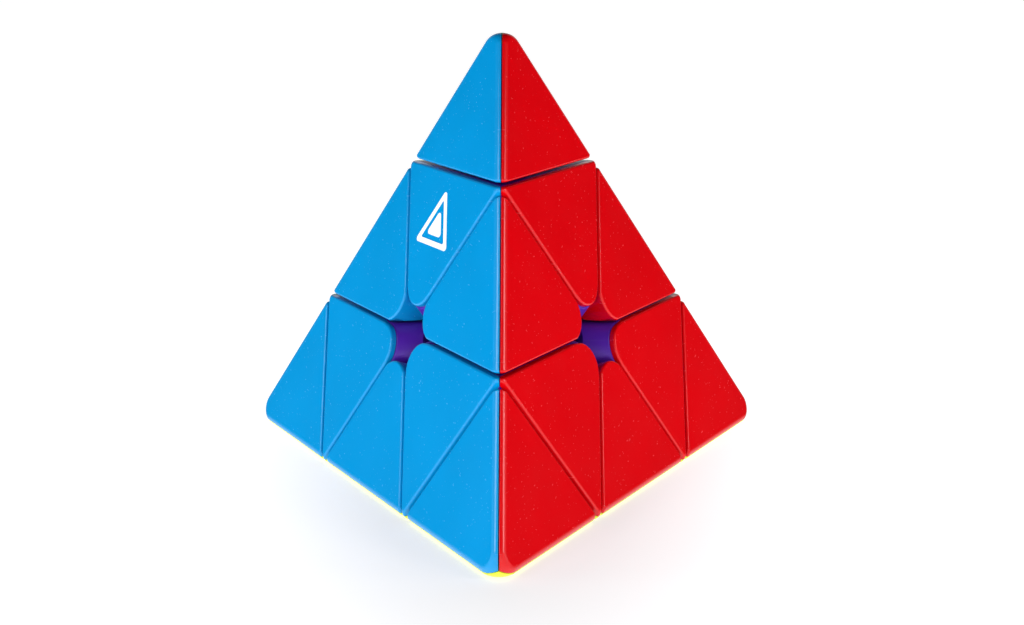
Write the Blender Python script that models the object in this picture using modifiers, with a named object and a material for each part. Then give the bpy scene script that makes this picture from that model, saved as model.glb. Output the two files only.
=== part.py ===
"""Pyramid twisty puzzle: a four-armed core, four corner pieces, six edge pieces and four turning tips.

The origin is the centre of the core, where the four turning axes meet. The puzzle stands on its yellow face.
A layer cut is a plane square to one axis. Inside the foot radius the cuts lie nearer the centre,
so each edge piece has a foot that is held under the shoulders of its two corner pieces.
"""
import math

import bmesh
import bpy
from mathutils import Matrix, Vector

# Driving dimensions, in metres.
EDGE_LENGTH = 0.098        # edge of the sharp tetrahedron that the rounded puzzle fills
RIDGE_RADIUS = 0.0015      # rounding along the six ridges
POINT_RADIUS = 0.0036      # dome at each of the four points
CORNER_CAP_RADIUS = 0.0042     # rounding of a corner cap at the middle of a face, square to the face
CORNER_BODY_RADIUS = 0.0053    # rounding of a corner body, along the line where its two layer cuts meet
EDGE_INNER_RADIUS = 0.00475    # rounding of an edge piece at the middle of a face, square to the face
EDGE_LINE_RADIUS = 0.0010      # rounding of an edge piece along the line where its two layer cuts meet
TIP_CUT = 0.03293          # from the centre to the cut between a tip and its corner piece
TURN_GAP = 0.0004          # between layers that turn past each other
TIP_GAP = 0.0005           # between a tip and its corner piece
FIT_GAP = 0.0003           # between pieces that are clipped or screwed together
CAP_THICKNESS = 0.0011     # coloured caps, measured square to the face
TIP_CAP_THICKNESS = 0.0018 # the tips' caps, which also close the dome
SKIRT_THICKNESS = 0.0010   # walls of the edge caps along the layer cuts

FOOT_CUT = 0.0020          # layer cut inside the foot radius, from the centre
BALL_RADIUS = 0.0090       # ball of the core
STALK_BOTTOM = 0.0094      # inner end of stalks and feet
FOOT_RADIUS = 0.0135       # outer surface of the feet
SHOULDER_RADIUS = 0.0140   # underside of the corner pieces' shoulders
STALK_OVERLAP = 0.0008     # how far a stalk reaches into its corner body
NECK_HALF_LENGTH = 0.0052  # neck that joins an edge body to its foot, through the caps' opening
NECK_HALF_WIDTH = 0.0037
NECK_TOP = 0.0205

ARM_RADIUS = 0.0026        # arms of the core, which the stalks turn on
ARM_END = 0.0130
ARM_BORE_END = 0.0133
FLOOR_TOP = 0.0153         # floor of the corner piece, which the spring presses on
SCREW_RADIUS = 0.0012
SCREW_TIP = 0.0110
SCREW_HEAD_RADIUS = 0.0032
SCREW_HEAD_BOTTOM = 0.0226
SCREW_HEAD_TOP = 0.0244
SCREW_SOCKET_RADIUS = 0.00144
SCREW_SOCKET_DEPTH = 0.0010
SCREW_CHAMFER = 0.0003
SPRING_RADIUS = 0.0024     # to the middle of the wire
SPRING_WIRE_RADIUS = 0.00035
SPRING_TURNS = 4
POST_RADIUS = 0.0039       # post of the tip, which snaps into the corner piece
POST_LIP_RADIUS = 0.0048
POST_BOTTOM = 0.0252
LIP_TOP = 0.0302
LIP_HEIGHT = 0.0014
POST_OVERLAP = 0.0020      # how far the post reaches into the tip's base
LIP_SHOULDER = 0.0305
POCKET_RADIUS = 0.0052

RIDGE_SEGMENTS = 4
INNER_SEGMENTS = 5
LINE_SEGMENTS = 2
SPHERE_SEGMENTS = 24
ROUND_STEPS = 18
SPRING_POINTS_PER_TURN = 10
# Cuts that dome a point: rings of tangent planes, as the tilt from the axis and the directions round it.
DOME_RINGS = ((24, range(0, 360, 60)), (46, (-25, 25, 95, 145, 215, 265)))

# Worked out from the driving dimensions.
HEIGHT = EDGE_LENGTH * math.sqrt(2 / 3)
FACE_DISTANCE = HEIGHT / 4
LAYER_CUT = HEIGHT / 12
CORNER_REACH = LAYER_CUT - TURN_GAP / 2
# The dome's ball touches the three rounded ridges, whose tops meet this far from the centre.
RIDGE_TOPS_MEET = 3 * FACE_DISTANCE - RIDGE_RADIUS * (3 - math.sqrt(3))
POINT_BALL_CENTRE = RIDGE_TOPS_MEET - POINT_RADIUS * math.sqrt(3)
FAR = 0.2

COLOURS = {
    "blue": (0.004, 0.27, 0.75),
    "red": (0.62, 0.004, 0.008),
    "green": (0.01, 0.45, 0.06),
    "yellow": (0.75, 0.85, 0.03),
    "purple": (0.075, 0.02, 0.33),
    "white": (0.75, 0.75, 0.73),
    "steel": (0.55, 0.55, 0.56),
}


def corner_axis(azimuth_degrees):
    """Unit vector from the centre to one of the three points of the yellow face."""
    azimuth = math.radians(azimuth_degrees)
    level = math.sqrt(8) / 3
    return Vector((level * math.cos(azimuth), level * math.sin(azimuth), -1 / 3))


AXES = {
    "top": Vector((0, 0, 1)),
    "front": corner_axis(-90),
    "left": corner_axis(150),
    "right": corner_axis(30),
}
# Each face lies opposite one corner, so its outward normal is that corner's axis reversed.
FACE_OPPOSITE = {"blue": "right", "red": "left", "green": "front", "yellow": "top"}
NORMALS = {colour: -AXES[corner] for colour, corner in FACE_OPPOSITE.items()}
# Each edge piece, with the corner whose body carries it first.
EDGES = (("top", "front"), ("top", "left"), ("top", "right"), ("left", "front"), ("front", "right"), ("right", "left"))


def clear_scene():
    for obj in list(bpy.data.objects):
        bpy.data.objects.remove(obj)


def new_collection(name):
    collection = bpy.data.collections.new(name)
    bpy.context.scene.collection.children.link(collection)
    return collection


clear_scene()
PUZZLE = new_collection("pyramid_twisty_puzzle")
WORKSHOP = new_collection("shapes_and_cutters")


def make_material(name, colour, roughness, metallic=0.0):
    material = bpy.data.materials.new(name)
    material.use_nodes = True
    shader = material.node_tree.nodes["Principled BSDF"]
    shader.inputs["Base Color"].default_value = (*colour, 1)
    shader.inputs["Roughness"].default_value = roughness
    shader.inputs["Metallic"].default_value = metallic
    return material


# Solids cut by planes.


def keep_below(solid, normal, distance):
    """Keeps what lies below a plane at this distance along the normal, and closes the cut."""
    normal = normal.normalized()
    parts = solid.verts[:] + solid.edges[:] + solid.faces[:]
    bmesh.ops.bisect_plane(solid, geom=parts, plane_co=normal * distance, plane_no=normal, clear_outer=True, dist=1e-7)
    open_edges = [edge for edge in solid.edges if edge.is_boundary]
    bmesh.ops.holes_fill(solid, edges=open_edges)


def keep_above(solid, normal, distance):
    keep_below(solid, -normal, -distance)


def block(size=FAR):
    solid = bmesh.new()
    bmesh.ops.create_cube(solid, size=size)
    return solid


def upright_cut(cut_normal, cut_distance, face_normal):
    """The plane square to a face through the line where a layer cut meets it, as a normal and a distance."""
    lean = cut_normal.dot(face_normal)
    upright = cut_normal - face_normal * lean
    return upright.normalized(), (cut_distance - FACE_DISTANCE * lean) / upright.length


def round_along(solid, normal_a, normal_b, distance, radius, segments):
    """Rounds the edge where two planes meet, with tangent cuts. Both planes lie at this distance."""
    middle = (normal_a + normal_b) / (1 + normal_a.dot(normal_b)) * (distance - radius)
    whole_angle = normal_a.angle(normal_b)
    across = (normal_b - normal_a * normal_a.dot(normal_b)).normalized()
    for step in range(1, segments):
        angle = whole_angle * step / segments
        normal = normal_a * math.cos(angle) + across * math.sin(angle)
        keep_below(solid, normal, normal.dot(middle) + radius)


def round_point(solid, axis, towards_ridge):
    """Domes one point of the pyramid with cuts tangent to a ball that touches the three rounded ridges."""
    centre = axis * POINT_BALL_CENTRE
    keep_below(solid, axis, POINT_BALL_CENTRE + POINT_RADIUS)
    across = axis.cross(towards_ridge).normalized()
    tilt_axis = across.cross(axis)
    for polar, azimuths in DOME_RINGS:
        for azimuth in azimuths:
            level = tilt_axis * math.cos(math.radians(azimuth)) + across * math.sin(math.radians(azimuth))
            normal = axis * math.cos(math.radians(polar)) + level * math.sin(math.radians(polar))
            keep_below(solid, normal, normal.dot(centre) + POINT_RADIUS)


def rounded_pyramid():
    """The whole outer form: a tetrahedron with rounded ridges and domed points."""
    solid = bmesh.new()
    bmesh.ops.create_cube(solid, size=FAR)
    normals = list(NORMALS.values())
    for normal in normals:
        keep_below(solid, normal, FACE_DISTANCE)
    for index, normal in enumerate(normals):
        for other in normals[index + 1:]:
            round_along(solid, normal, other, FACE_DISTANCE, RIDGE_RADIUS, RIDGE_SEGMENTS)
    for name, axis in AXES.items():
        neighbour = AXES["front"] if name == "top" else AXES["top"]
        round_point(solid, axis, neighbour)
    return solid


OUTER_FORM = rounded_pyramid()


def cut_between(solid, keep, other):
    """Cuts along the plane that halves the ridge between two faces, and keeps the first face's side."""
    keep_above(solid, NORMALS[keep] - NORMALS[other], FIT_GAP / 2)


def tip_block(inset=0.0):
    """Tip piece at the top corner. The inset draws its three outer faces in."""
    solid = OUTER_FORM.copy()
    for colour in ("blue", "red", "green"):
        if inset:
            keep_below(solid, NORMALS[colour], FACE_DISTANCE - inset)
    keep_above(solid, AXES["top"], TIP_CUT + TIP_GAP / 2)
    return solid


def corner_block():
    """Corner piece at the top, between the tip cut and the four layer cuts, with sharp vertical edges."""
    solid = OUTER_FORM.copy()
    for name in ("front", "left", "right"):
        keep_below(solid, AXES[name], CORNER_REACH)
    keep_below(solid, AXES["top"], TIP_CUT - TIP_GAP / 2)
    keep_above(solid, AXES["top"], LAYER_CUT + TURN_GAP / 2)
    return solid


def edge_block(face_inset=0.0, side_inset=0.0):
    """Edge piece between the top and front corners. The insets draw in its faces and its layer cuts."""
    solid = OUTER_FORM.copy()
    cut = LAYER_CUT + TURN_GAP / 2 + side_inset
    for name in ("top", "front"):
        keep_above(solid, AXES[name], cut)
    if side_inset < EDGE_LINE_RADIUS:
        round_along(solid, -AXES["top"], -AXES["front"], -cut, EDGE_LINE_RADIUS - side_inset, LINE_SEGMENTS)
    for colour in ("blue", "red"):
        normal_a, reach = upright_cut(-AXES["top"], -cut, NORMALS[colour])
        normal_b, reach = upright_cut(-AXES["front"], -cut, NORMALS[colour])
        round_along(solid, normal_a, normal_b, reach, EDGE_INNER_RADIUS - side_inset, INNER_SEGMENTS)
        if face_inset:
            keep_below(solid, NORMALS[colour], FACE_DISTANCE - face_inset)
    return solid


# Objects, Booleans and turned shapes.


def add_object(name, mesh, collection):
    obj = bpy.data.objects.new(name, mesh)
    collection.objects.link(obj)
    return obj


def workshop_object(name, solid):
    """A shape that others are made from. It is not a piece of the puzzle."""
    mesh = bpy.data.meshes.new(name)
    bmesh.ops.recalc_face_normals(solid, faces=solid.faces)
    solid.to_mesh(mesh)
    solid.free()
    obj = add_object(name, mesh, WORKSHOP)
    obj.hide_render = True
    obj.display_type = "WIRE"
    return obj


def apply_boolean(obj, operation, other):
    modifier = obj.modifiers.new(operation.lower() + "_" + other.name, "BOOLEAN")
    modifier.operation = operation
    modifier.object = other


def finished_mesh(obj, name):
    """The object's mesh with its modifiers applied."""
    bpy.context.view_layer.update()
    graph = bpy.context.evaluated_depsgraph_get()
    mesh = bpy.data.meshes.new_from_object(obj.evaluated_get(graph))
    mesh.name = name
    return mesh


def ball(name, radius):
    """A ball whose facets are turned off the axes, so that none lines up with a cut."""
    solid = bmesh.new()
    turn = Matrix.Rotation(math.radians(11), 4, Vector((3, 2, 1)))
    bmesh.ops.create_uvsphere(
        solid, u_segments=SPHERE_SEGMENTS, v_segments=SPHERE_SEGMENTS // 2, radius=radius, matrix=turn)
    return workshop_object(name, solid)


def turned(name, profile):
    """A solid of revolution about +Z. The profile is (radius, height) pairs from the top down."""
    mesh = bpy.data.meshes.new(name + "_profile")
    points = [(radius, 0, height) for radius, height in profile]
    mesh.from_pydata(points, [(i, i + 1) for i in range(len(points) - 1)], [])
    obj = add_object(name, mesh, WORKSHOP)
    obj.hide_render = True
    obj.display_type = "WIRE"
    spin = obj.modifiers.new("spin", "SCREW")
    spin.steps = ROUND_STEPS
    spin.render_steps = ROUND_STEPS
    spin.use_merge_vertices = True
    spin.merge_threshold = 0.00001
    return obj


def axis_turn(axis):
    """Rotation that takes +Z to the axis."""
    return Vector((0, 0, 1)).rotation_difference(axis).to_matrix().to_4x4()


def basis(primary, secondary):
    """Right-handed frame with Z along the primary direction and X towards the secondary one."""
    z = primary.normalized()
    x = (secondary - z * secondary.dot(z)).normalized()
    return Matrix((x, z.cross(x), z)).transposed()


def corner_turn(corner, colour):
    """Rotation that takes the top corner and the blue face to this corner and face."""
    home = basis(AXES["top"], NORMALS["blue"])
    return (basis(AXES[corner], NORMALS[colour]) @ home.transposed()).to_4x4()


def edge_turn(first, second, colour):
    """Rotation that takes the top-front edge and the blue face to this edge and face."""
    home = basis(AXES["top"] + AXES["front"], NORMALS["blue"])
    return (basis(AXES[first] + AXES[second], NORMALS[colour]) @ home.transposed()).to_4x4()


# One of each shape, at the top corner or the top-front edge.


def tip_cap_mesh():
    solid = tip_block()
    keep_above(solid, NORMALS["blue"], FACE_DISTANCE - TIP_CAP_THICKNESS)
    cut_between(solid, "blue", "red")
    cut_between(solid, "blue", "green")
    return finished_mesh(workshop_object("tip_cap_shape", solid), "tip_cap")


def tip_base_mesh():
    base = workshop_object("tip_base_shape", tip_block(TIP_CAP_THICKNESS + FIT_GAP))
    post = turned("tip_post", [
        (0, TIP_CUT + POST_OVERLAP),
        (POST_RADIUS, TIP_CUT + POST_OVERLAP),
        (POST_RADIUS, LIP_TOP),
        (POST_LIP_RADIUS, LIP_TOP),
        (POST_LIP_RADIUS, LIP_TOP - LIP_HEIGHT),
        (POST_RADIUS, POST_BOTTOM),
        (0, POST_BOTTOM),
    ])
    apply_boolean(base, "UNION", post)
    return finished_mesh(base, "tip_base")


def corner_cap_mesh():
    solid = corner_block()
    normal_a, reach = upright_cut(AXES["front"], CORNER_REACH, NORMALS["blue"])
    normal_b, reach = upright_cut(AXES["left"], CORNER_REACH, NORMALS["blue"])
    round_along(solid, normal_a, normal_b, reach, CORNER_CAP_RADIUS, INNER_SEGMENTS)
    keep_above(solid, NORMALS["blue"], FACE_DISTANCE - CAP_THICKNESS)
    cut_between(solid, "blue", "red")
    cut_between(solid, "blue", "green")
    return finished_mesh(workshop_object("corner_cap_shape", solid), "corner_cap")


def corner_body_mesh(shoulder_ball, foot_gap_ball, stalk_ball):
    solid = corner_block()
    for colour in ("blue", "red", "green"):
        keep_below(solid, NORMALS[colour], FACE_DISTANCE - CAP_THICKNESS - FIT_GAP)
    for first, second in (("front", "left"), ("left", "right"), ("right", "front")):
        round_along(solid, AXES[first], AXES[second], CORNER_REACH, CORNER_BODY_RADIUS, INNER_SEGMENTS)
    body = workshop_object("corner_body_shape", solid)
    apply_boolean(body, "DIFFERENCE", shoulder_ball)
    stalk_solid = block()
    for name in ("front", "left", "right"):
        keep_below(stalk_solid, AXES[name], FOOT_CUT - TURN_GAP / 2)
    keep_above(stalk_solid, AXES["top"], FOOT_CUT + TURN_GAP / 2)
    stalk = workshop_object("corner_stalk", stalk_solid)
    apply_boolean(stalk, "INTERSECT", stalk_ball)
    apply_boolean(stalk, "DIFFERENCE", foot_gap_ball)
    apply_boolean(body, "UNION", stalk)
    bore = turned("corner_bore", [
        (0, TIP_CUT + POST_OVERLAP),
        (POST_RADIUS + FIT_GAP, TIP_CUT + POST_OVERLAP),
        (POST_RADIUS + FIT_GAP, LIP_SHOULDER),
        (POCKET_RADIUS, LIP_SHOULDER),
        (POCKET_RADIUS, FLOOR_TOP),
        (SCREW_RADIUS + FIT_GAP, FLOOR_TOP),
        (SCREW_RADIUS + FIT_GAP, ARM_BORE_END),
        (ARM_RADIUS + FIT_GAP, ARM_BORE_END),
        (ARM_RADIUS + FIT_GAP, FOOT_CUT),
        (0, FOOT_CUT),
    ])
    apply_boolean(body, "DIFFERENCE", bore)
    return finished_mesh(body, "corner_body")


def neck_box(half_length, half_width):
    """Box through the inner side of the top-front edge piece, before the layer cuts trim it."""
    along = (AXES["right"] - AXES["left"]).normalized()
    across = (AXES["top"] - AXES["front"]).normalized()
    outward = (AXES["top"] + AXES["front"]).normalized()
    solid = block()
    for direction, half in ((along, half_length), (across, half_width)):
        keep_below(solid, direction, half)
        keep_above(solid, direction, -half)
    keep_above(solid, outward, STALK_BOTTOM)
    keep_below(solid, outward, NECK_TOP)
    return solid


def edge_cap_mesh(shoulder_ball):
    half = edge_block()
    cut_between(half, "blue", "red")
    cap = workshop_object("edge_cap_shape", half)
    hollow = workshop_object("edge_cap_hollow", edge_block(CAP_THICKNESS, SKIRT_THICKNESS))
    opening = workshop_object("edge_cap_opening", neck_box(NECK_HALF_LENGTH + FIT_GAP, NECK_HALF_WIDTH + FIT_GAP))
    apply_boolean(cap, "DIFFERENCE", hollow)
    apply_boolean(cap, "DIFFERENCE", opening)
    apply_boolean(cap, "DIFFERENCE", shoulder_ball)
    return finished_mesh(cap, "edge_cap")


def edge_foot_mesh(foot_ball, foot_gap_ball):
    foot = workshop_object("edge_foot_shape", edge_block(CAP_THICKNESS + FIT_GAP, SKIRT_THICKNESS + FIT_GAP))
    neck_solid = neck_box(NECK_HALF_LENGTH, NECK_HALF_WIDTH)
    sector_solid = block()
    for name in ("top", "front"):
        keep_above(neck_solid, AXES[name], LAYER_CUT + TURN_GAP / 2)
        keep_above(sector_solid, AXES[name], FOOT_CUT + TURN_GAP / 2)
    for name in ("left", "right"):
        keep_below(sector_solid, AXES[name], FOOT_CUT - TURN_GAP / 2)
    sector = workshop_object("edge_foot_sector", sector_solid)
    apply_boolean(sector, "INTERSECT", foot_ball)
    apply_boolean(sector, "DIFFERENCE", foot_gap_ball)
    apply_boolean(foot, "UNION", workshop_object("edge_neck", neck_solid))
    apply_boolean(foot, "UNION", sector)
    return finished_mesh(foot, "edge_foot")


def core_mesh():
    """Ball with an arm along each axis. Each arm has a blind hole for its screw."""
    core = ball("core_ball", BALL_RADIUS)
    hole_radius = SCREW_RADIUS + FIT_GAP
    for name, axis in AXES.items():
        arm = turned("arm_" + name, [
            (0, SCREW_TIP - FIT_GAP),
            (hole_radius, SCREW_TIP - FIT_GAP),
            (hole_radius, ARM_END),
            (ARM_RADIUS, ARM_END),
            (ARM_RADIUS, BALL_RADIUS / 2),
            (0, BALL_RADIUS / 2),
        ])
        arm.matrix_world = axis_turn(axis)
        apply_boolean(core, "UNION", arm)
    return finished_mesh(core, "core")


def screw_mesh():
    screw = turned("screw_shape", [
        (0, SCREW_HEAD_TOP - SCREW_SOCKET_DEPTH),
        (SCREW_SOCKET_RADIUS, SCREW_HEAD_TOP - SCREW_SOCKET_DEPTH),
        (SCREW_SOCKET_RADIUS, SCREW_HEAD_TOP),
        (SCREW_HEAD_RADIUS - SCREW_CHAMFER, SCREW_HEAD_TOP),
        (SCREW_HEAD_RADIUS, SCREW_HEAD_TOP - SCREW_CHAMFER),
        (SCREW_HEAD_RADIUS, SCREW_HEAD_BOTTOM),
        (SCREW_RADIUS, SCREW_HEAD_BOTTOM),
        (SCREW_RADIUS, SCREW_TIP + SCREW_CHAMFER),
        (SCREW_RADIUS - SCREW_CHAMFER, SCREW_TIP),
        (0, SCREW_TIP),
    ])
    return finished_mesh(screw, "screw")


def spring_object(name):
    """Tension spring round the screw, between the corner piece's floor and the screw head."""
    bottom = FLOOR_TOP + FIT_GAP + SPRING_WIRE_RADIUS
    top = SCREW_HEAD_BOTTOM - FIT_GAP - SPRING_WIRE_RADIUS
    count = SPRING_TURNS * SPRING_POINTS_PER_TURN + 1
    curve = bpy.data.curves.new(name, "CURVE")
    curve.dimensions = "3D"
    curve.bevel_depth = SPRING_WIRE_RADIUS
    curve.bevel_resolution = 1
    curve.use_fill_caps = True
    spline = curve.splines.new("POLY")
    spline.points.add(count - 1)
    for index, point in enumerate(spline.points):
        angle = 2 * math.pi * index / SPRING_POINTS_PER_TURN
        height = bottom + (top - bottom) * index / (count - 1)
        point.co = (SPRING_RADIUS * math.cos(angle), SPRING_RADIUS * math.sin(angle), height, 1)
    return add_object(name, curve, PUZZLE)


# Pieces in their places, each under an empty on its turning axis.


def turning_empty(name, axis):
    empty = bpy.data.objects.new(name, None)
    empty.empty_display_size = 0.01
    empty.matrix_world = axis_turn(axis)
    PUZZLE.objects.link(empty)
    return empty


def place(obj, world, parent, material):
    obj.data.materials.clear()
    obj.data.materials.append(material)
    obj.matrix_world = world
    if parent:
        obj.parent = parent
        obj.matrix_parent_inverse = parent.matrix_world.inverted()
    if obj.type == "MESH":
        obj.data.shade_smooth()
        obj.data.set_sharp_from_angle(angle=math.radians(30))


def add_piece(name, mesh, world, parent, material):
    place(add_object(name, mesh.copy(), PUZZLE), world, parent, material)


def build():
    plastic = {name: make_material(name + "_plastic", COLOURS[name], 0.3) for name in NORMALS}
    plastic["purple"] = make_material("purple_plastic", COLOURS["purple"], 0.4)
    white = make_material("white_plastic", COLOURS["white"], 0.45)
    steel = make_material("steel", COLOURS["steel"], 0.3, metallic=1.0)

    shoulder_ball = ball("shoulder_ball", SHOULDER_RADIUS)
    foot_ball = ball("foot_ball", FOOT_RADIUS)
    foot_gap_ball = ball("foot_gap_ball", STALK_BOTTOM)
    stalk_ball = ball("stalk_ball", SHOULDER_RADIUS + STALK_OVERLAP)
    tip_cap = tip_cap_mesh()
    tip_base = tip_base_mesh()
    corner_cap = corner_cap_mesh()
    corner_body = corner_body_mesh(shoulder_ball, foot_gap_ball, stalk_ball)
    edge_cap = edge_cap_mesh(shoulder_ball)
    edge_foot = edge_foot_mesh(foot_ball, foot_gap_ball)
    screw = screw_mesh()

    add_piece("core", core_mesh(), Matrix.Identity(4), None, white)
    for corner, axis in AXES.items():
        layer = turning_empty("layer_axis_" + corner, axis)
        tip = turning_empty("tip_axis_" + corner, axis)
        faces = [colour for colour in NORMALS if FACE_OPPOSITE[colour] != corner]
        home = corner_turn(corner, faces[0])
        add_piece("screw_" + corner, screw, axis_turn(axis), None, steel)
        place(spring_object("spring_" + corner), axis_turn(axis), layer, steel)
        add_piece("corner_" + corner + "_body", corner_body, home, layer, plastic["purple"])
        add_piece("tip_" + corner + "_base", tip_base, home, tip, plastic["purple"])
        for colour in faces:
            turn = corner_turn(corner, colour)
            add_piece("corner_" + corner + "_cap_" + colour, corner_cap, turn, layer, plastic[colour])
            add_piece("tip_" + corner + "_cap_" + colour, tip_cap, turn, tip, plastic[colour])
    for first, second in EDGES:
        name = "edge_" + first + "_" + second
        faces = [colour for colour in NORMALS if FACE_OPPOSITE[colour] not in (first, second)]
        hinge = turning_empty(name + "_axis", AXES[second])
        add_piece(name + "_foot", edge_foot, edge_turn(first, second, faces[0]), hinge, plastic["purple"])
        for colour in faces:
            add_piece(name + "_cap_" + colour, edge_cap, edge_turn(first, second, colour), hinge, plastic[colour])


build()
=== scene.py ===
"""Looks for the pyramid twisty puzzle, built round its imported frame.

Shapes are made once, in millimetres, at the top corner, the blue face or the top-front edge.
They are then turned to each corner, face and edge, and scaled to metres.
"""
import math

import bmesh
import bpy
from mathutils import Matrix, Vector


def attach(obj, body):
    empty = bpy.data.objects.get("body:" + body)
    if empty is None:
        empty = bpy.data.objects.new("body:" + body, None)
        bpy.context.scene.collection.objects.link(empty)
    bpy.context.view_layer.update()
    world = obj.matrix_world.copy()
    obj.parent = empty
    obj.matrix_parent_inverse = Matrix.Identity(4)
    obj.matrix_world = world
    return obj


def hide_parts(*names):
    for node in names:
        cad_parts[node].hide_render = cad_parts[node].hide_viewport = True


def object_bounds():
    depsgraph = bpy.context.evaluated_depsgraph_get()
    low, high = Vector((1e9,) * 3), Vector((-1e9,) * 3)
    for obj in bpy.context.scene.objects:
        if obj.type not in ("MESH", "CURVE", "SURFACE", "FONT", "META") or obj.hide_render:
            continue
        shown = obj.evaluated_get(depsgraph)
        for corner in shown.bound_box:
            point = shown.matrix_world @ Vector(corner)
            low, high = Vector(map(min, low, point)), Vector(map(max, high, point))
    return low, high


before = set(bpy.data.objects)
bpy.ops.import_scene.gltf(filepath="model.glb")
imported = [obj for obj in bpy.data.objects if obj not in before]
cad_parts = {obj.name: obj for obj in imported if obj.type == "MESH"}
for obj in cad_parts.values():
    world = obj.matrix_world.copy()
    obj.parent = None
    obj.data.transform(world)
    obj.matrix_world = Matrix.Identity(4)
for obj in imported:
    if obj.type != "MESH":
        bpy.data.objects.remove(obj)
CAD_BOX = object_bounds()

MM = 0.001

# The puzzle stands on its yellow face, so the frame's lowest point gives the distance to a face.
FACE_DISTANCE = -CAD_BOX[0].z / MM
HEIGHT = 4 * FACE_DISTANCE

# From the centre, along a corner's axis, to the cut under its layer and to the cut under its tip.
LAYER_CUT = HEIGHT / 12
TIP_CUT = 32.93

# Driving dimensions, in millimetres.
RIDGE_RADIUS = 1.5
POINT_RADIUS = 3.6
CORNER_CAP_RADIUS = 4.2
CORNER_BODY_RADIUS = 5.3
EDGE_INNER_RADIUS = 4.75
EDGE_LINE_RADIUS = 1.0
TURN_GAP = 0.42
TIP_GAP = 0.56
SEAM_GAP = 0.14
CAP_THICKNESS = 1.05
TIP_CAP_THICKNESS = 1.8
SKIRT_THICKNESS = 1.0
FIT_GAP = 0.05
RIM_RADIUS = 0.5
SEAM_RADIUS = 0.12
LIP_RADIUS = 0.3

# Inside a corner body: its shoulder and stalk, and the bore for the tip's post and the screw,
# as (radius, height) pairs. The neck of an edge piece passes through its caps.
SHOULDER_RADIUS = 14.0
STALK_CUT = 2.2
STALK_BOTTOM = 9.4
STALK_OVERLAP = 0.8
BORE_PROFILE = (
    (0, 36), (4.2, 36), (4.2, 30.5), (5.2, 30.5), (5.2, 15.3),
    (1.5, 15.3), (1.5, 13.3), (2.9, 13.3), (2.9, 2), (0, 2))
NECK_HALF_LENGTH = 5.5
NECK_HALF_WIDTH = 4.0
NECK_TOP = 20.5

RIDGE_STEPS = 8
DOME_COLUMNS = 12
INNER_STEPS = 14
LINE_STEPS = 5
RIM_STEPS = 4
SEAM_STEPS = 3
ROUND_STEPS = 48
LEAST_TILT_STEP = 0.02
BALL_TILT = Matrix.Rotation(math.radians(11), 4, Vector((3, 2, 1)))
BLOCK_SIZE = 200.0
SAME_PLACE = 1e-5
SHARP_ANGLE = math.radians(38)


def corner_axis(azimuth_degrees):
    """Unit vector from the centre to one of the three points of the yellow face."""
    azimuth = math.radians(azimuth_degrees)
    level = math.sqrt(8) / 3
    return Vector((level * math.cos(azimuth), level * math.sin(azimuth), -1 / 3))


AXES = {
    "top": Vector((0, 0, 1)),
    "front": corner_axis(-90),
    "left": corner_axis(150),
    "right": corner_axis(30),
}
FACE_OPPOSITE = {"blue": "right", "red": "left", "green": "front", "yellow": "top"}
NORMALS = {colour: -AXES[corner] for colour, corner in FACE_OPPOSITE.items()}
EDGES = (
    ("top", "front"), ("top", "left"), ("top", "right"),
    ("left", "front"), ("front", "right"), ("right", "left"))


def basis(primary, secondary):
    """Right-handed frame with Z along the primary direction and X towards the secondary one."""
    z = primary.normalized()
    x = (secondary - z * secondary.dot(z)).normalized()
    return Matrix((x, z.cross(x), z)).transposed()


def corner_turn(corner, colour):
    """Rotation that takes the top corner and the blue face to this corner and face."""
    home = basis(AXES["top"], NORMALS["blue"])
    return (basis(AXES[corner], NORMALS[colour]) @ home.transposed()).to_4x4()


def edge_turn(first, second, colour):
    """Rotation that takes the top-front edge and the blue face to this edge and face."""
    home = basis(AXES["top"] + AXES["front"], NORMALS["blue"])
    return (basis(AXES[first] + AXES[second], NORMALS[colour]) @ home.transposed()).to_4x4()


# Solids cut by planes. A plane is (outward normal, distance from the centre).


def new_block():
    solid = bmesh.new()
    bmesh.ops.create_cube(solid, size=BLOCK_SIZE)
    return solid


def cut(solid, *planes):
    """Keeps what lies below each plane, and closes each cut."""
    for normal, distance in planes:
        if all(vert.co.dot(normal) <= distance + SAME_PLACE for vert in solid.verts):
            continue
        parts = solid.verts[:] + solid.edges[:] + solid.faces[:]
        bmesh.ops.bisect_plane(
            solid, geom=parts, plane_co=normal * distance, plane_no=normal, clear_outer=True, dist=SAME_PLACE)
        bmesh.ops.holes_fill(solid, edges=[edge for edge in solid.edges if edge.is_boundary])


def planes_between(plane_a, plane_b, radius, steps):
    """Planes tangent to a ball of this radius that rolls along the edge where two planes meet."""
    (normal_a, distance_a), (normal_b, distance_b) = plane_a, plane_b
    dot = normal_a.dot(normal_b)
    inner_a, inner_b = distance_a - radius, distance_b - radius
    centre = (normal_a * (inner_a - inner_b * dot) + normal_b * (inner_b - inner_a * dot)) / (1 - dot * dot)
    across = (normal_b - normal_a * dot).normalized()
    whole_angle = normal_a.angle(normal_b)
    planes = []
    for step in range(1, steps):
        angle = whole_angle * step / steps
        normal = normal_a * math.cos(angle) + across * math.sin(angle)
        planes.append((normal, normal.dot(centre) + radius))
    return planes


def round_rims(solid, outer_planes, side_planes, radius, steps):
    """Rounds every edge between an outer plane and a side plane."""
    for outer in outer_planes:
        for side in side_planes:
            cut(solid, *planes_between(outer, side, radius, steps))


def face_plane(colour, inset=0.0):
    return NORMALS[colour], FACE_DISTANCE - inset


def above_face(colour, depth):
    """Keeps what lies less than this depth below the face."""
    return -NORMALS[colour], depth - FACE_DISTANCE


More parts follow.
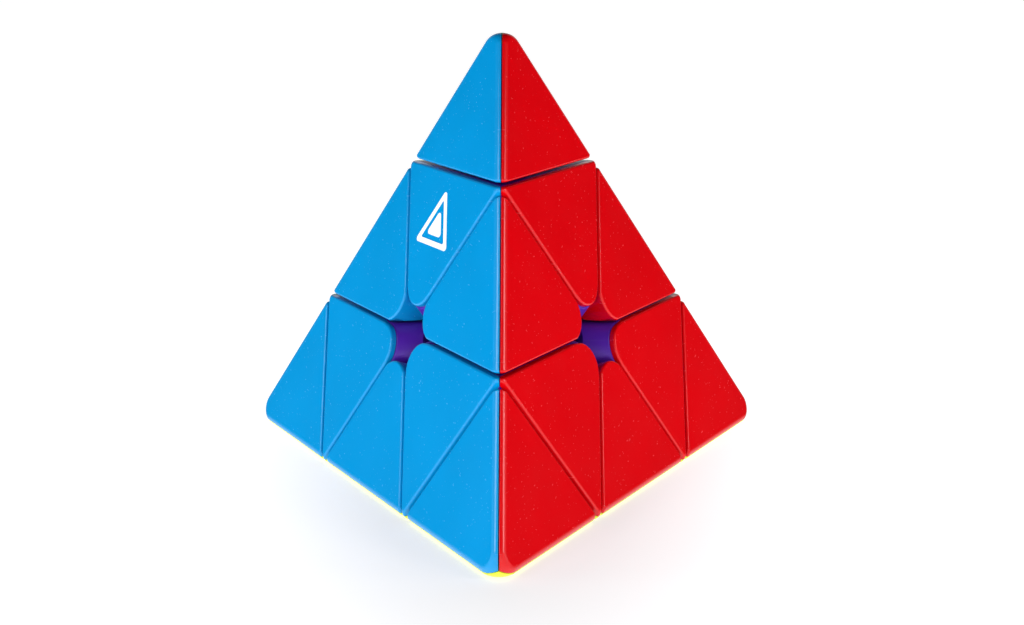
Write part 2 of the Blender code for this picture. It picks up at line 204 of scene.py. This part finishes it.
def upright(plane, colour):
    """The plane square to a face, through the line where the given plane meets that face."""
    normal, distance = plane
    face_normal, face_distance = face_plane(colour)
    lean = normal.dot(face_normal)
    level = normal - face_normal * lean
    return level.normalized(), (distance - face_distance * lean) / level.length


def ridge_planes(colour, other):
    """The first colour's half of the rounded ridge between two faces."""
    planes = planes_between(face_plane(colour), face_plane(other), RIDGE_RADIUS, 2 * RIDGE_STEPS)
    return planes[:RIDGE_STEPS]


def dome_planes():
    """The blue third of the dome at the top corner, as tangent planes.

    Under the dome a ball touches the three ridges. Near the face the surface is a ridge rounding
    that follows the arc where this ball meets the face, and beyond that it is the ball itself.
    """
    inner_radius = POINT_RADIUS - RIDGE_RADIUS
    centre = AXES["top"] * (3 * (FACE_DISTANCE - RIDGE_RADIUS) - inner_radius * math.sqrt(3))
    face_normal, face_distance = face_plane("blue")
    depth = face_distance - RIDGE_RADIUS - centre.dot(face_normal)
    arc_centre = centre + face_normal * depth
    arc_radius = math.sqrt(inner_radius ** 2 - depth ** 2)
    half_ridge = math.asin(arc_radius / inner_radius)
    to_point = (AXES["top"] - face_normal * AXES["top"].dot(face_normal)).normalized()
    across = face_normal.cross(to_point)
    planes = []
    for column in range(DOME_COLUMNS + 1):
        turn = math.radians(120 * column / DOME_COLUMNS - 60)
        level = to_point * math.cos(turn) + across * math.sin(turn)
        nearest = max(NORMALS["red"].dot(level), NORMALS["green"].dot(level))
        seam_tilt = math.atan2(1 + 1 / 3, nearest)
        rows = [half_ridge * row / RIDGE_STEPS for row in range(1, RIDGE_STEPS + 3)]
        for tilt in [row for row in rows if row < seam_tilt - LEAST_TILT_STEP] + [seam_tilt]:
            normal = face_normal * math.cos(tilt) + level * math.sin(tilt)
            if tilt <= half_ridge:
                distance = normal.dot(arc_centre) + arc_radius * math.sin(tilt) + RIDGE_RADIUS
            else:
                distance = normal.dot(centre) + POINT_RADIUS
            planes.append((normal, distance))
    return planes


def seam_plane(colour, other):
    """The plane that halves the ridge between two faces, just inside the first face's half."""
    return (NORMALS[other] - NORMALS[colour]).normalized(), -SEAM_GAP / 2


def layer_plane(corner, sign, inset=0.0):
    """A layer cut square to this corner's axis: sign 1 keeps its inner side, -1 its outer side."""
    return AXES[corner] * sign, sign * LAYER_CUT - TURN_GAP / 2 - inset


def cap_planes(*others):
    """The outside of a blue cap: the flat face, and its halves of the ridges to the other faces."""
    outer = [face_plane("blue")]
    for other in others:
        outer += ridge_planes("blue", other)
    return outer


def tip_cap_solid():
    solid = new_block()
    outer = cap_planes("red", "green")
    dome = dome_planes()
    bottom = (-AXES["top"], -(TIP_CUT + TIP_GAP / 2))
    seams = [seam_plane("blue", other) for other in ("red", "green")]
    cut(solid, *outer, *dome, bottom, *seams)
    round_rims(solid, outer, [bottom], RIM_RADIUS, RIM_STEPS)
    round_rims(solid, outer + dome, seams, SEAM_RADIUS, SEAM_STEPS)
    cut(solid, above_face("blue", TIP_CAP_THICKNESS))
    return solid


def corner_cap_solid():
    solid = new_block()
    outer = cap_planes("red", "green")
    sides = [layer_plane("front", 1), layer_plane("left", 1)]
    top = (AXES["top"], TIP_CUT - TIP_GAP / 2)
    rounding = planes_between(*[upright(side, "blue") for side in sides], CORNER_CAP_RADIUS, INNER_STEPS)
    seams = [seam_plane("blue", other) for other in ("red", "green")]
    cut(solid, *outer, *sides, top, layer_plane("top", -1), *rounding, *seams)
    round_rims(solid, outer, sides + [top], RIM_RADIUS, RIM_STEPS)
    round_rims(solid, outer[:1], rounding, RIM_RADIUS, RIM_STEPS)
    round_rims(solid, outer, seams, SEAM_RADIUS, SEAM_STEPS)
    cut(solid, above_face("blue", CAP_THICKNESS))
    return solid


def corner_body_solid():
    """The inner piece of the top corner, before its shoulder, stalk and bore."""
    solid = new_block()
    cut(solid, (AXES["top"], TIP_CUT - TIP_GAP / 2), layer_plane("top", -1))
    cut(solid, *[layer_plane(corner, 1) for corner in ("front", "left", "right")])
    for colour, *others in (("blue", "front", "left"), ("red", "front", "right"), ("green", "left", "right")):
        face = face_plane(colour, CAP_THICKNESS + FIT_GAP)
        sides = [layer_plane(other, 1) for other in others]
        rounding = planes_between(*sides, CORNER_BODY_RADIUS, INNER_STEPS)
        cut(solid, face, *rounding)
        round_rims(solid, [face], rounding, LIP_RADIUS, RIM_STEPS)
    return solid


def stalk_solid():
    """The wedge under a corner body that reaches in towards the core, before it is cut round."""
    solid = new_block()
    cut(solid, *[(AXES[corner], STALK_CUT - TURN_GAP) for corner in ("front", "left", "right")])
    cut(solid, (-AXES["top"], -STALK_CUT))
    return solid


def edge_cap_solid():
    solid = new_block()
    outer = cap_planes("red")
    sides = [layer_plane("top", -1), layer_plane("front", -1)]
    line = planes_between(*sides, EDGE_LINE_RADIUS, LINE_STEPS)
    rounding = planes_between(*[upright(side, "blue") for side in sides], EDGE_INNER_RADIUS, INNER_STEPS)
    seam = seam_plane("blue", "red")
    cut(solid, *outer, *sides, *line, *rounding, seam)
    round_rims(solid, outer, sides, RIM_RADIUS, RIM_STEPS)
    round_rims(solid, outer[:1], rounding, RIM_RADIUS, RIM_STEPS)
    round_rims(solid, outer + sides, [seam], SEAM_RADIUS, SEAM_STEPS)
    return solid


def edge_hollow_solid():
    """The space inside the two edge caps, with straight sides where the caps are rounded."""
    solid = new_block()
    sides = [layer_plane("top", -1, SKIRT_THICKNESS), layer_plane("front", -1, SKIRT_THICKNESS)]
    rounding = []
    for colour in ("blue", "red"):
        level = [upright(side, colour) for side in sides]
        rounding += planes_between(*level, EDGE_INNER_RADIUS - SKIRT_THICKNESS, INNER_STEPS)
    cut(solid, face_plane("blue", CAP_THICKNESS), face_plane("red", CAP_THICKNESS), *sides, *rounding)
    return solid


def neck_solid():
    """The opening that the edge piece's neck passes through, on the inner side of its caps."""
    solid = new_block()
    outward = (AXES["top"] + AXES["front"]).normalized()
    along = (AXES["right"] - AXES["left"]).normalized()
    across = (AXES["top"] - AXES["front"]).normalized()
    for direction, half in ((along, NECK_HALF_LENGTH), (across, NECK_HALF_WIDTH)):
        cut(solid, (direction, half), (-direction, half))
    cut(solid, (outward, NECK_TOP), (-outward, -STALK_BOTTOM))
    return solid


def ball_solid(radius):
    """A ball, turned so that its seams and poles don't fall on the planes that it meets."""
    solid = bmesh.new()
    bmesh.ops.create_uvsphere(
        solid, u_segments=ROUND_STEPS, v_segments=ROUND_STEPS // 2, radius=radius, matrix=BALL_TILT)
    return solid


def turned_solid(profile):
    """A solid of revolution about +Z, from (radius, height) pairs."""
    solid = bmesh.new()
    verts = [solid.verts.new((radius, 0, height)) for radius, height in profile]
    edges = [solid.edges.new(pair) for pair in zip(verts, verts[1:])]
    bmesh.ops.spin(
        solid, geom=verts + edges, axis=(0, 0, 1), cent=(0, 0, 0), angle=math.tau, steps=ROUND_STEPS,
        use_merge=True)
    bmesh.ops.remove_doubles(solid, verts=solid.verts[:], dist=10 * SAME_PLACE)
    return solid


# Meshes from solids.


def mesh_of(name, solid):
    mesh = bpy.data.meshes.new(name)
    bmesh.ops.recalc_face_normals(solid, faces=solid.faces)
    solid.to_mesh(mesh)
    solid.free()
    return mesh


def evaluated_mesh(obj):
    """The object's mesh with its modifiers applied. The object is removed."""
    bpy.context.view_layer.update()
    graph = bpy.context.evaluated_depsgraph_get()
    mesh = bpy.data.meshes.new_from_object(obj.evaluated_get(graph))
    mesh.name = obj.name
    bpy.data.objects.remove(obj)
    return mesh


def scene_object(name, mesh):
    obj = bpy.data.objects.new(name, mesh)
    bpy.context.scene.collection.objects.link(obj)
    return obj


def combined(mesh, *steps):
    """The mesh after each Boolean step, given as (operation, other mesh)."""
    obj = scene_object(mesh.name, mesh)
    others = []
    for operation, other_mesh in steps:
        others.append(scene_object("other", other_mesh))
        modifier = obj.modifiers.new(operation.lower(), "BOOLEAN")
        modifier.operation = operation
        modifier.object = others[-1]
    result = evaluated_mesh(obj)
    for other in others:
        bpy.data.objects.remove(other)
    return result


def finished(mesh):
    """The mesh in metres, shaded so that flat faces stay flat and rounded ones look smooth."""
    mesh.transform(Matrix.Scale(MM, 4))
    mesh.shade_smooth()
    mesh.set_sharp_from_angle(angle=SHARP_ANGLE)
    obj = scene_object(mesh.name, mesh)
    normals = obj.modifiers.new("weighted_normals", "WEIGHTED_NORMAL")
    normals.mode = "FACE_AREA"
    normals.weight = 100
    normals.keep_sharp = True
    return evaluated_mesh(obj)


def corner_body_mesh():
    stalk = combined(
        mesh_of("stalk", stalk_solid()),
        ("INTERSECT", mesh_of("stalk_ball", ball_solid(SHOULDER_RADIUS + STALK_OVERLAP))),
        ("DIFFERENCE", mesh_of("core_gap_ball", ball_solid(STALK_BOTTOM))))
    return combined(
        mesh_of("corner_body", corner_body_solid()),
        ("DIFFERENCE", mesh_of("shoulder_ball", ball_solid(SHOULDER_RADIUS))),
        ("UNION", stalk),
        ("DIFFERENCE", mesh_of("bore", turned_solid(BORE_PROFILE))))


def edge_cap_mesh():
    return combined(
        mesh_of("edge_cap", edge_cap_solid()),
        ("DIFFERENCE", mesh_of("edge_hollow", edge_hollow_solid())),
        ("DIFFERENCE", mesh_of("neck_opening", neck_solid())),
        ("DIFFERENCE", mesh_of("foot_ball", ball_solid(SHOULDER_RADIUS))))


# Materials. Object coordinates are metres, in the puzzle's own frame.


# Places of a colour Mix node's sockets: its two inputs, then its output.
MIX_FIRST = 6
MIX_SECOND = 7
MIX_RESULT = 2


class Nodes:
    """Adds nodes to a material and joins them, with short names for the ones used here."""

    def __init__(self, name):
        self.material = bpy.data.materials.new(name)
        self.material.use_nodes = True
        self.nodes = self.material.node_tree.nodes
        self.shader = self.nodes["Principled BSDF"]
        self.place = self.add("ShaderNodeTexCoord").outputs["Object"]

    def add(self, kind, **settings):
        node = self.nodes.new(kind)
        for key, value in settings.items():
            setattr(node, key, value)
        return node

    def join(self, output, socket):
        self.material.node_tree.links.new(output, socket)

    def noise(self, scale, detail=2.0, stretch=None):
        """A noise pattern with this many features to a metre, drawn out along an axis by the stretch."""
        node = self.add("ShaderNodeTexNoise")
        node.inputs["Scale"].default_value = scale
        node.inputs["Detail"].default_value = detail
        source = self.place
        if stretch:
            mapping = self.add("ShaderNodeMapping")
            mapping.inputs["Rotation"].default_value = stretch[0]
            mapping.inputs["Scale"].default_value = stretch[1]
            self.join(source, mapping.inputs["Vector"])
            source = mapping.outputs["Vector"]
        self.join(source, node.inputs["Vector"])
        return node.outputs["Fac"]

    def spread(self, value, low, high, to_low, to_high):
        """Maps a range of the value to another range, held at its ends."""
        node = self.add("ShaderNodeMapRange")
        for key, number in (("From Min", low), ("From Max", high), ("To Min", to_low), ("To Max", to_high)):
            node.inputs[key].default_value = number
        self.join(value, node.inputs["Value"])
        return node.outputs["Result"]

    def math(self, operation, first, second):
        node = self.add("ShaderNodeMath", operation=operation)
        for value, socket in zip((first, second), node.inputs):
            if isinstance(value, float):
                socket.default_value = value
            else:
                self.join(value, socket)
        return node.outputs["Value"]

    def blend_colours(self, factor, first, second):
        node = self.add("ShaderNodeMix", data_type="RGBA")
        self.join(factor, node.inputs["Factor"])
        for value, socket in ((first, node.inputs[MIX_FIRST]), (second, node.inputs[MIX_SECOND])):
            if isinstance(value, tuple):
                socket.default_value = (*value, 1)
            else:
                self.join(value, socket)
        return node.outputs[MIX_RESULT]

    def bump(self, height, distance, strength, normal=None):
        node = self.add("ShaderNodeBump")
        node.inputs["Distance"].default_value = distance
        node.inputs["Strength"].default_value = strength
        self.join(height, node.inputs["Height"])
        if normal:
            self.join(normal, node.inputs["Normal"])
        return node.outputs["Normal"]


# What each pattern does to the plastic, and its scale. A noise lies mostly within the middle range.
# A bump is (height in metres, strength), and dust is (share of the colour kept, white added).
MIDDLE = (0.3, 0.7)
MOTTLE_SCALE = 60
DARKER = 0.96
LIGHTER = 1.03
SMUDGE_SCALE = 170
SMUDGE_ROUGHNESS = (-0.03, 0.04)
WAVE_SCALE = 180
WAVE_BUMP = (0.00003, 0.15)
GRAIN_SCALE = 5200
GRAIN_BUMP = (0.000003, 0.2)
SPECK_SCALE = 2600
SPECK_RANGE = (0.88, 0.90)
SPECK_SHARE = 0.08
DUST = (0.8, 0.12)
SCRATCH_RANGE = (0.70, 0.76)
SCRATCH_SHARE = 0.10
SCRATCH_ROUGHNESS = 0.12
SCRATCH_DIRECTIONS = (
    ((0.3, 0.9, 0.2), (60, 2600, 2600)),
    ((1.1, 0.2, 1.9), (2400, 50, 2400)),
)


def scratches(nodes):
    """Sparse fine lines in two directions: 1 on a scratch, 0 beside it."""
    total = None
    for rotation, scale in SCRATCH_DIRECTIONS:
        line = nodes.spread(nodes.noise(1.0, 1.0, (rotation, scale)), *SCRATCH_RANGE, 0.0, 1.0)
        total = line if total is None else nodes.math("MAXIMUM", total, line)
    return total


def toned(colour, factor, added=0.0):
    return tuple(channel * factor + added for channel in colour)


def plastic(name, colour, roughness, specular, wear=1.0):
    """Satin moulded plastic: faint mottling, handling marks, scratches, grain and a few specks of dust."""
    nodes = Nodes(name)
    marks = scratches(nodes)
    dusty = toned(colour, *DUST)
    mottling = nodes.spread(nodes.noise(MOTTLE_SCALE), *MIDDLE, 0.0, 1.0)
    mottled = nodes.blend_colours(mottling, toned(colour, DARKER), toned(colour, LIGHTER))
    scuffed = nodes.blend_colours(nodes.math("MULTIPLY", marks, SCRATCH_SHARE * wear), mottled, dusty)
    specks = nodes.spread(nodes.noise(SPECK_SCALE, 0.0), *SPECK_RANGE, 0.0, SPECK_SHARE * wear)
    nodes.join(nodes.blend_colours(specks, scuffed, dusty), nodes.shader.inputs["Base Color"])
    smoothest, roughest = [roughness + change for change in SMUDGE_ROUGHNESS]
    smudges = nodes.spread(nodes.noise(SMUDGE_SCALE, 3.0), *MIDDLE, smoothest, roughest)
    scratched = nodes.math("MULTIPLY", marks, SCRATCH_ROUGHNESS)
    nodes.join(nodes.math("ADD", smudges, scratched), nodes.shader.inputs["Roughness"])
    waves = nodes.bump(nodes.noise(WAVE_SCALE, 1.0), *WAVE_BUMP)
    grain = nodes.bump(nodes.noise(GRAIN_SCALE, 1.0), *GRAIN_BUMP, waves)
    nodes.join(grain, nodes.shader.inputs["Normal"])
    nodes.shader.inputs["Specular IOR Level"].default_value = specular
    return nodes.material


STEEL_TONES = (0.42, 0.42, 0.43), (0.62, 0.62, 0.63)
STEEL_TONE_SCALE = 700
STEEL_ROUGHNESS = (0.22, 0.4)
STEEL_LINES = ((0, 0, 0), (300, 300, 9000))
STEEL_BUMP = (0.00001, 0.3)


def steel():
    """Bare drawn steel, with a finer polish in places."""
    nodes = Nodes("steel")
    nodes.shader.inputs["Metallic"].default_value = 1.0
    tone = nodes.noise(STEEL_TONE_SCALE, 4.0)
    nodes.join(nodes.blend_colours(tone, *STEEL_TONES), nodes.shader.inputs["Base Color"])
    nodes.join(nodes.spread(tone, *MIDDLE, *STEEL_ROUGHNESS), nodes.shader.inputs["Roughness"])
    lines = nodes.noise(1.0, 2.0, STEEL_LINES)
    nodes.join(nodes.bump(lines, *STEEL_BUMP), nodes.shader.inputs["Normal"])
    return nodes.material


# The floor glows more with the distance from the puzzle: this is painted light, and the dimmer floor close
# round the puzzle is a painted shadow. Depth counts for less of that distance than width.
PAPER_TONES = (0.55, 0.545, 0.57), (0.57, 0.565, 0.59)
PAPER_TONE_SCALE = 6
FLOOR_GLOW_REACH = (0.022, 0.05)
FLOOR_GLOW = (0.61, 0.93)
FLOOR_GLOW_STRETCH = (1, 0.4, 0)


def painted_light_floor_paper():
    """White paper with painted light: its glow rises away from the puzzle, which leaves a painted shadow
    close round it.
    """
    nodes = Nodes("painted_light_floor_paper")
    tone = nodes.noise(PAPER_TONE_SCALE, 3.0)
    nodes.join(nodes.blend_colours(tone, *PAPER_TONES), nodes.shader.inputs["Base Color"])
    nodes.shader.inputs["Roughness"].default_value = 0.9
    nodes.shader.inputs["Specular IOR Level"].default_value = 0.0
    stretched = nodes.add("ShaderNodeVectorMath", operation="MULTIPLY")
    stretched.inputs[1].default_value = FLOOR_GLOW_STRETCH
    nodes.join(nodes.place, stretched.inputs[0])
    reach = nodes.add("ShaderNodeVectorMath", operation="LENGTH")
    nodes.join(stretched.outputs["Vector"], reach.inputs[0])
    nodes.shader.inputs["Emission Color"].default_value = (1, 1, 1, 1)
    # Painted light and shadow: the glow is least near the puzzle and most towards the floor's edges.
    glow = nodes.spread(reach.outputs["Value"], *FLOOR_GLOW_REACH, *FLOOR_GLOW)
    nodes.join(glow, nodes.shader.inputs["Emission Strength"])
    return nodes.material


PLASTIC = {
    "blue": plastic("blue_plastic", (0.0004, 0.262, 0.60), roughness=0.17, specular=0.6),
    "red": plastic("red_plastic", (0.60, 0.0003, 0.003), roughness=0.17, specular=0.6),
    "green": plastic("green_plastic", (0.004, 0.40, 0.05), roughness=0.17, specular=0.6),
    "yellow": plastic("yellow_plastic", (0.74, 0.84, 0.04), roughness=0.19, specular=0.5),
    "purple": plastic("purple_plastic", (0.068, 0.011, 0.31), roughness=0.30, specular=0.4, wear=0.5),
    "white": plastic("white_plastic", (0.75, 0.75, 0.72), roughness=0.42, specular=0.4, wear=0.5),
    "ink": plastic("white_ink", (0.88, 0.90, 0.93), roughness=0.40, specular=0.3, wear=0.6),
}
STEEL = steel()


# Pieces.


def add_piece(name, master, turn, body, slot, material, *nodes):
    mesh = master.copy()
    mesh.transform(turn)
    mesh.name = name
    mesh.materials.clear()
    mesh.materials.append(material)
    obj = scene_object(name, mesh)
    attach(obj, body)
    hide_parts(*nodes)


def build_pieces():
    tip_cap = finished(mesh_of("tip_cap", tip_cap_solid()))
    corner_cap = finished(mesh_of("corner_cap", corner_cap_solid()))
    corner_body = finished(corner_body_mesh())
    edge_cap = finished(edge_cap_mesh())
    for corner in AXES:
        faces = [colour for colour in NORMALS if FACE_OPPOSITE[colour] != corner]
        body = "corner_" + corner
        inner = body + "_body"
        home = corner_turn(corner, faces[0])
        add_piece(inner + "_shell", corner_body, home, body, "inner_plastic", PLASTIC["purple"], inner)
        for colour in faces:
            turn = corner_turn(corner, colour)
            slot = colour + "_plastic"
            tip, cap = f"tip_{corner}_cap_{colour}", f"{body}_cap_{colour}"
            add_piece(tip + "_shell", tip_cap, turn, "tip_" + corner, slot, PLASTIC[colour], tip)
            add_piece(cap + "_shell", corner_cap, turn, body, slot, PLASTIC[colour], cap)
    for first, second in EDGES:
        edge = f"edge_{first}_{second}"
        for colour in [c for c in NORMALS if FACE_OPPOSITE[c] not in (first, second)]:
            cap = f"{edge}_cap_{colour}"
            turn = edge_turn(first, second, colour)
            add_piece(cap + "_shell", edge_cap, turn, edge, colour + "_plastic", PLASTIC[colour], cap)


def finish_cad_nodes():
    """Gives the CAD nodes that stay their material: bases and feet, the core, screws and springs."""
    for name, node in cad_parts.items():
        if name.endswith(("_base", "_foot")):
            material = PLASTIC["purple"]
        elif name == "core":
            material = PLASTIC["white"]
        else:
            material = STEEL
        for slot in node.material_slots:
            slot.material = material


# The emblem: two nested triangles with round corners, printed on the top corner's blue cap.
# An outline is the reach of a triangle's points and of its opening's, and 0 is no opening.

EMBLEM_CENTRE = 18.3
EMBLEM_THICKNESS = 0.04
EMBLEM_LIFT = 0.005
EMBLEM_OUTLINES = ((6.6, 4.75), (3.0, 0.0))
EMBLEM_CORNER = 0.55
EMBLEM_ARC_STEPS = 6


def triangle_outline(solid, reach, corner_radius, height):
    """A triangle whose points are this far from the middle, before they are rounded."""
    verts = []
    for corner in range(3):
        middle = math.radians(90 + 120 * corner)
        centre = Vector((math.cos(middle), math.sin(middle))) * (reach - 2 * corner_radius)
        for step in range(EMBLEM_ARC_STEPS + 1):
            angle = middle + math.radians(120) * (step / EMBLEM_ARC_STEPS - 0.5)
            x, y = centre + Vector((math.cos(angle), math.sin(angle))) * corner_radius
            verts.append(solid.verts.new((x, y, height)))
    return verts


def add_wall(solid, first, second):
    for index in range(len(first)):
        following = (index + 1) % len(first)
        solid.faces.new((first[index], first[following], second[following], second[index]))


def emblem_mesh():
    solid = bmesh.new()
    for outer_reach, inner_reach in EMBLEM_OUTLINES:
        low = triangle_outline(solid, outer_reach, EMBLEM_CORNER, 0)
        high = triangle_outline(solid, outer_reach, EMBLEM_CORNER, EMBLEM_THICKNESS)
        add_wall(solid, low, high)
        if inner_reach:
            hole_low = triangle_outline(solid, inner_reach, EMBLEM_CORNER / 2, 0)
            hole_high = triangle_outline(solid, inner_reach, EMBLEM_CORNER / 2, EMBLEM_THICKNESS)
            add_wall(solid, hole_low, hole_high)
            add_wall(solid, high, hole_high)
            add_wall(solid, low, hole_low)
        else:
            solid.faces.new(high)
            solid.faces.new(low)
    return mesh_of("emblem", solid)


def add_emblem():
    normal = NORMALS["blue"]
    up = (AXES["top"] - normal * AXES["top"].dot(normal)).normalized()
    mesh = emblem_mesh()
    mesh.transform(Matrix((up.cross(normal), up, normal)).transposed().to_4x4())
    mesh.transform(Matrix.Translation(normal * (FACE_DISTANCE + EMBLEM_LIFT) + up * EMBLEM_CENTRE))
    mesh.transform(Matrix.Scale(MM, 4))
    mesh.materials.append(PLASTIC["ink"])
    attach(scene_object("corner_top_emblem", mesh), "corner_top")


# Camera, floor and lights, in metres, degrees and watts.

CAMERA_AZIMUTH = -0.66
CAMERA_ELEVATION = 14.23
CAMERA_ROLL = -0.20
CAMERA_DISTANCE = 0.2994
CAMERA_LENS = 60.5
AIM_RIGHT = 0.00150
AIM_UP = 0.00732
FLOOR_REACH = 4

# Each light faces the puzzle. Azimuth 0 is in front of it, and 90 to its right.
# The low ones and the front one only fill in: they light the lower pieces, and nothing mirrors them.
SOFTBOXES = {
    "left": dict(azimuth=-52, elevation=40, distance=0.6, size=(0.12, 0.28), power=0.50),
    "right": dict(azimuth=66, elevation=34, distance=0.6, size=(0.12, 0.28), power=0.52),
    "low_left": dict(azimuth=-72, elevation=-3, distance=0.22, size=(0.06, 0.05), power=0.36, mirrored=False),
    "low_right": dict(azimuth=72, elevation=-3, distance=0.22, size=(0.06, 0.05), power=0.30, mirrored=False),
    "front": dict(azimuth=-4, elevation=-1, distance=0.24, size=(0.24, 0.07), power=0.42, mirrored=False),
}

# Strengths of the studio's surroundings over a range of depth or height: from, to, then the two strengths.
# Between the front and the back they are dark, where the puzzle's flat sides would mirror them.
FRONT_LIGHT = (-0.10, 0.30, 0.72, 0.01)
BACK_LIGHT = (0.70, 0.90, 0.0, 0.8)
OVERHEAD_SHADE = (0.20, 0.70, 1.0, 0.05)
TABLE_LIGHT = (-0.50, -0.15, 1.0, 0.0)


def add_camera():
    azimuth, elevation = math.radians(CAMERA_AZIMUTH), math.radians(CAMERA_ELEVATION)
    level = Vector((math.sin(azimuth), math.cos(azimuth), 0))
    forward = level * math.cos(elevation) - Vector((0, 0, math.sin(elevation)))
    right = Vector((math.cos(azimuth), -math.sin(azimuth), 0))
    up = right.cross(forward)
    aim = right * AIM_RIGHT + up * AIM_UP
    rolled = Matrix.Rotation(math.radians(CAMERA_ROLL), 3, -forward)
    turn = Matrix((rolled @ right, rolled @ up, -forward)).transposed().to_4x4()
    data = bpy.data.cameras.new("camera")
    data.lens = CAMERA_LENS
    data.sensor_width = 36
    data.clip_start = 0.01
    data.clip_end = 20
    camera = scene_object("camera", data)
    camera.matrix_world = Matrix.Translation(aim - forward * CAMERA_DISTANCE) @ turn
    bpy.context.scene.camera = camera


def add_floor():
    solid = bmesh.new()
    bmesh.ops.create_grid(solid, x_segments=2, y_segments=2, size=FLOOR_REACH)
    floor = scene_object("floor", mesh_of("floor", solid))
    floor.location.z = CAD_BOX[0].z
    floor.data.materials.append(painted_light_floor_paper())
    floor.visible_glossy = False


def add_softbox(name, azimuth, elevation, distance, size, power, mirrored=True):
    light = bpy.data.lights.new(name, "AREA")
    light.shape = "RECTANGLE"
    light.size, light.size_y = size
    light.energy = power
    around, above = math.radians(azimuth), math.radians(elevation)
    level = Vector((math.sin(around), -math.cos(around), 0))
    away = level * math.cos(above) + Vector((0, 0, math.sin(above)))
    softbox = scene_object(name, light)
    softbox.visible_camera = False
    softbox.visible_glossy = mirrored
    softbox.location = away * distance
    softbox.rotation_euler = away.to_track_quat("Z", "Y").to_euler()


def add_world():
    """White to look at. Its light comes from the front, the back and the table, and little from overhead."""
    world = bpy.data.worlds.new("studio")
    bpy.context.scene.world = world
    world.use_nodes = True
    world.cycles.sampling_method = "NONE"
    nodes, links = world.node_tree.nodes, world.node_tree.links

    def ranged(source, settings):
        node = nodes.new("ShaderNodeMapRange")
        for key, number in zip(("From Min", "From Max", "To Min", "To Max"), settings):
            node.inputs[key].default_value = number
        links.new(source, node.inputs["Value"])
        return node.outputs["Result"]

    def joined(operation, first, second):
        node = nodes.new("ShaderNodeMath")
        node.operation = operation
        links.new(first, node.inputs[0])
        links.new(second, node.inputs[1])
        return node.outputs["Value"]

    direction = nodes.new("ShaderNodeSeparateXYZ")
    links.new(nodes.new("ShaderNodeTexCoord").outputs["Generated"], direction.inputs["Vector"])
    depth, height = direction.outputs["Y"], direction.outputs["Z"]
    around = joined("MAXIMUM", ranged(depth, FRONT_LIGHT), ranged(depth, BACK_LIGHT))
    above = joined("MULTIPLY", around, ranged(height, OVERHEAD_SHADE))
    seen = nodes.new("ShaderNodeMix")
    links.new(nodes.new("ShaderNodeLightPath").outputs["Is Camera Ray"], seen.inputs["Factor"])
    links.new(joined("MAXIMUM", above, ranged(height, TABLE_LIGHT)), seen.inputs["A"])
    seen.inputs["B"].default_value = 1.0
    background = nodes["Background"]
    background.inputs["Color"].default_value = (1, 1, 1, 1)
    links.new(seen.outputs["Result"], background.inputs["Strength"])


build_pieces()
finish_cad_nodes()
add_emblem()
add_camera()
add_floor()
add_world()
for softbox_name, settings in SOFTBOXES.items():
    add_softbox(softbox_name, **settings)
bpy.context.scene.view_settings.view_transform = "Standard"
